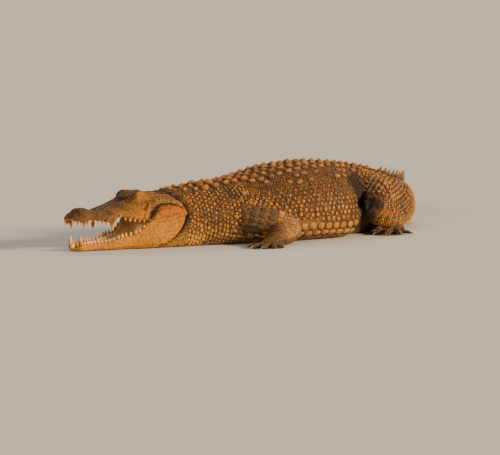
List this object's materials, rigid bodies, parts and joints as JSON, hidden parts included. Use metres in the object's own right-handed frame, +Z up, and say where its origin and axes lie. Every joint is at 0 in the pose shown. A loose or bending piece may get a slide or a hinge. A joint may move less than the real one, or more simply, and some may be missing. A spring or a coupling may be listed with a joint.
{
  "type": "mugger crocodile model",
  "caption": "Life-size still model of an adult mugger crocodile lying on its belly with its mouth open, its legs folded and its tail curled round to its right.",
  "frame": {"origin": "middle of the model's box, on the floor it lies on", "axes": "-X the way the snout points, +X towards the tail, -Y the animal's left side, +Z up"},
  "size_m": [2.3658, 1.592, 0.303],
  "materials": {
    "hide": "dry, dusty horny scales in golden brown with dark grey-brown skin between them",
    "jaw_hide": "matt, finely wrinkled ochre skin, paler below",
    "tongue": "dull yellow, slightly moist",
    "eye": "glossy olive brown"
  },
  "bodies": {
    "root": {"belly": "hide", "chest": "hide", "eye_left": "eye", "eye_right": "eye", "foot_left": "hide", "foot_right": "hide", "forearm_left": "hide", "forearm_right": "hide", "hand_left": "hide", "hand_right": "hide", "head": "hide", "hips": "hide", "lower_jaw": "jaw_hide", "neck": "hide", "shank_left": "hide", "shank_right": "hide", "tail_base": "hide", "tail_front": "hide", "tail_middle": "hide", "tail_rear": "hide", "tail_tip": "hide", "thigh_left": "hide", "thigh_right": "hide", "tongue": "tongue", "upper_arm_left": "hide", "upper_arm_right": "hide"}
  },
  "joints": []
}
